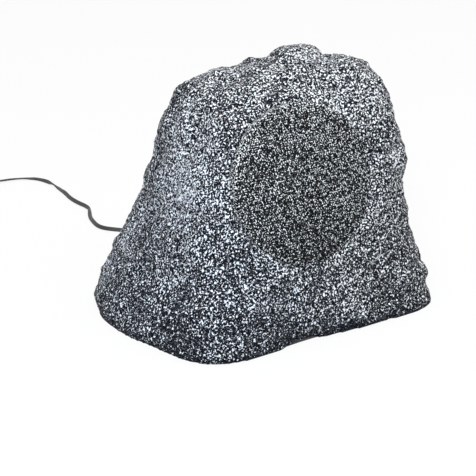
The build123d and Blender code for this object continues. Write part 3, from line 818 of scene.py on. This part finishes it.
softRing("wooferRoll", rollProfile(),
         "woofer_surround", "black_rubber")
softRing("wooferSpider", spiderProfile(),
         "woofer_spider", "spider_cloth")
print("surround and spider made")

# screws: one turned screw with a cross recess, set at each CAD screw
screws = {
    "shank": 0.0019, "tip": 0.0006, "recessWidth": 0.0011, "recessLong": 0.0046, "recessDeep": 0.0016,
    "steps": 24, "spin": 0.9, "softAngle": 35,
    "flat": {"head": [(0.0042, 0), (0.0042, -0.0002)],
             "neck": -0.0024, "straight": -0.0165, "point": -0.0197},
    "pan": {"head": [(0.0026, 0), (0.0033, -0.0005), (0.0036, -0.0012), (0.0036, -0.0024)],
            "neck": -0.0024, "straight": -0.0125, "point": -0.0154}}


def islands(node):  # each separate solid of a CAD node, as a list of its corners
    made = cadMesh(node)
    left = set(made.verts)
    groups = []
    while left:
        waiting = [left.pop()]
        group = []
        while waiting:
            vertex = waiting.pop()
            group.append(vertex.co.copy())
            for edge in vertex.link_edges:
                other = edge.other_vert(vertex)
                if other in left:
                    left.remove(other)
                    waiting.append(other)
        groups.append(group)
    made.free()
    return groups


def screwMesh(kind):  # the head's top at zero, the shank below it
    shank = screws["shank"]
    body = [(shank, kind["neck"]), (shank, kind["straight"]), (screws["tip"], kind["point"])]
    made = lathe(kind["head"] + body, screws["steps"], closed=False)
    screw = asObject("oneScrew", asMesh(made, "oneScrew"))
    cross = bmesh.new()
    size = Matrix.Diagonal((screws["recessLong"], screws["recessWidth"], screws["recessDeep"] * 2, 1))
    for turn in (0, math.pi / 2):
        bmesh.ops.create_cube(cross, size=1, matrix=Matrix.Rotation(turn, 4, "Z") @ size)
    cutAway(screw, asObject("recess", asMesh(cross, "recess")), "EXACT")
    return screw


def screwTree(values):
    tree, given, result = startTree("screwSet", values)
    screw = addNode(tree, "GeometryNodeObjectInfo", {"Object": given["Screw"]}).outputs["Geometry"]
    index = tree.nodes.new("GeometryNodeInputIndex").outputs[0]
    spin = maths(tree, "MULTIPLY", index, given["Spin"])
    spin = addNode(tree, "ShaderNodeCombineXYZ", {2: spin}).outputs[0]
    placed = addNode(tree, "GeometryNodeInstanceOnPoints", {
        "Points": given["Geometry"], "Instance": screw, "Rotation": given["Turn"]}).outputs[0]
    spun = addNode(tree, "GeometryNodeRotateInstances", {"Instances": placed, "Rotation": spin}).outputs[0]
    return endTree(tree, spun, given["Material"], result)


def screwSet(name, node, outward, kind):
    spots = []
    for corners in islands(node):
        middle = sum(corners, Vector()) / len(corners)
        top = max(corner.dot(outward) for corner in corners)
        spots.append(middle + outward * (top - middle.dot(outward)))
    mesh = bpy.data.meshes.new(name)
    mesh.from_pydata(spots, [], [])
    piece = asObject(name, mesh)
    screw = screwMesh(kind)
    turn = Vector((0, 0, 1)).rotation_difference(outward).to_euler()
    values = {"Screw": screw, "Turn": tuple(turn), "Spin": screws["spin"],
              "Material": finishes["screw_steel"]}
    useTree(piece, screwTree(values), values)
    bpy.data.objects.remove(screw)
    soften(piece.data, screws["softAngle"])
    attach(piece, "enclosure")
    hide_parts(node)
    print(name, "made", len(spots))


screwSet("baseScrews", "base_screws", Vector((0, 0, -1)), screws["flat"])
screwSet("wooferScrews", "woofer_screws", frontWay, screws["pan"])

# stage: pale floor and soft studio light
stage = {"floor": 0.9, "floorRough": 0.9, "floorReach": 6, "floorDrop": 0.0003,
         "bounce": 0.10, "backdrop": 0.985, "shadow": 0.14,
         "overhead": 0.98, "horizon": 0.175, "skyTop": 0.9,
         "below": 0.05, "belowFrom": -0.1, "belowTo": 0.05, "lampTarget": (0, 0, 0.14)}
lamps = {"key": {"place": (-1.25, -1.60, 1.50), "size": 0.9, "power": 50.0, "colour": (0.86, 0.93, 1.0)},
         "fill": {"place": (1.5, -1.2, 1.5), "size": 1.6, "power": 8.8, "colour": (1.0, 0.985, 0.96)}}
floorMesh = bpy.data.meshes.new("floor")
floorCorners = [(x * stage["floorReach"], y * stage["floorReach"], -stage["floorDrop"])
                for x, y in ((-1, -1), (1, -1), (1, 1), (-1, 1))]
floorMesh.from_pydata(floorCorners, [], [(0, 1, 2, 3)])
floor = asObject("floor", floorMesh)
floorFinish, floorNodes, floorShader = startMaterial("paleFloor")[:3]
floorShader.inputs["Base Color"].default_value = [stage["floor"]] * 3 + [1]
floorShader.inputs["Roughness"].default_value = stage["floorRough"]
glow = addNode(floorNodes, "ShaderNodeEmission", {
    "Color": (1, 1, 1, 1), "Strength": stage["backdrop"]}).outputs[0]
bounce = addNode(floorNodes, "ShaderNodeBsdfDiffuse", {"Color": [stage["bounce"]] * 3 + [1]}).outputs[0]
seen = addNode(floorNodes, "ShaderNodeMixShader", {
    0: 1 - stage["shadow"], 1: floorShader.outputs[0], 2: glow}).outputs[0]
rays = floorNodes.nodes.new("ShaderNodeLightPath").outputs
direct = maths(floorNodes, "MAXIMUM", rays["Is Camera Ray"], rays["Is Glossy Ray"])
mixed = addNode(floorNodes, "ShaderNodeMixShader", {0: direct, 1: bounce, 2: seen}).outputs[0]
floorNodes.links.new(mixed, floorNodes.nodes["Material Output"].inputs["Surface"])
floorMesh.materials.append(floorFinish)

world = bpy.data.worlds.new("studio")
bpy.context.scene.world = world
world.use_nodes = True
air = world.node_tree
backdrop = air.nodes["Background"]
backdrop.inputs["Color"].default_value = (1, 1, 1, 1)
rays = air.nodes.new("ShaderNodeLightPath").outputs
direct = maths(air, "MAXIMUM", rays["Is Glossy Ray"], rays["Is Transmission Ray"])
direct = maths(air, "MAXIMUM", rays["Is Camera Ray"], direct)
lift = axis(air, air.nodes.new("ShaderNodeTexCoord").outputs["Generated"], "Z")
above = spread(air, lift, 0.0, stage["skyTop"], stage["horizon"], stage["overhead"])
below = spread(air, lift, stage["belowFrom"], stage["belowTo"], stage["below"], 1.0)
hidden = maths(air, "MULTIPLY", maths(air, "SUBTRACT", 1.0, direct), maths(air, "MULTIPLY", above, below))
shown = maths(air, "MULTIPLY", direct, stage["backdrop"])
air.links.new(maths(air, "ADD", shown, hidden), backdrop.inputs["Strength"])

for name, lamp in lamps.items():
    lampData = bpy.data.lights.new(name, "AREA")
    lampData.shape = "DISK"
    lampData.size = lamp["size"]
    lampData.energy = lamp["power"]
    lampData.color = lamp["colour"]
    aim(asObject(name, lampData), lamp["place"], stage["lampTarget"])
bpy.context.scene.view_settings.view_transform = "Standard"
print("stage set")
